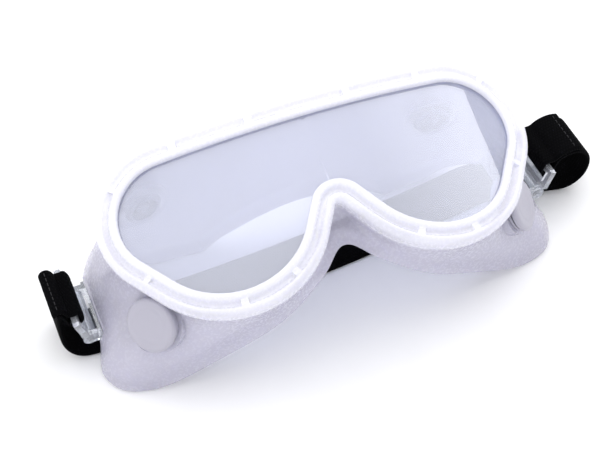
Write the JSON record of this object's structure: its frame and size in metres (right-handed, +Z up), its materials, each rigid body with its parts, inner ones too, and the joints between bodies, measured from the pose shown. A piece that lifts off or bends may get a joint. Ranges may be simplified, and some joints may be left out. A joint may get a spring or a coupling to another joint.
{
  "type": "safety goggles",
  "caption": "Soft splash goggles with a clear one-piece lens, round indirect vents, side clips and an elastic head strap, lying lens up.",
  "frame": {"origin": "on the resting plane, under the middle of the object's box", "axes": "+X along the long axis, -Y the nose and cheek side, +Z up out of the lens"},
  "size_m": [0.2316, 0.0852, 0.0754],
  "materials": {
    "face_vinyl": "soft translucent moulded vinyl, pale lavender",
    "lens_clear": "clear glossy polycarbonate",
    "vent_plastic": "pale grey satin plastic",
    "clip_clear": "clear glossy plastic",
    "strap_webbing": "black woven elastic"
  },
  "bodies": {
    "root": {"face_body": "face_vinyl", "lens": "lens_clear", "cheek_vent_left_seat": "vent_plastic", "cheek_vent_left_cap": "vent_plastic", "cheek_vent_right_seat": "vent_plastic", "cheek_vent_right_cap": "vent_plastic", "brow_vent_left_seat": "vent_plastic", "brow_vent_left_cap": "vent_plastic", "brow_vent_right_seat": "vent_plastic", "brow_vent_right_cap": "vent_plastic", "strap_anchor_left": "clip_clear", "anchor_back_plate_left": "clip_clear", "strap_bend_left": "strap_webbing", "strap_anchor_right": "clip_clear", "anchor_back_plate_right": "clip_clear", "strap_bend_right": "strap_webbing", "strap_run": "strap_webbing"},
    "clip_left": {"strap_clip_left": "clip_clear", "strap_end_left": "strap_webbing"},
    "clip_right": {"strap_clip_right": "clip_clear", "strap_end_right": "strap_webbing"}
  },
  "joints": [
    {"name": "clip_swivel_left", "type": "hinge", "parent": "root", "child": "clip_left", "pos_m": [-0.1048, 0.00807, 0.0108], "axis": [0, 1, 0], "range_deg": [-35, 15], "deforming": ["strap_bend_left"]},
    {"name": "clip_swivel_right", "type": "hinge", "parent": "root", "child": "clip_right", "pos_m": [0.0902, 0.00807, 0.0108], "axis": [0, -1, 0], "range_deg": [-35, 15], "deforming": ["strap_bend_right"]}
  ]
}
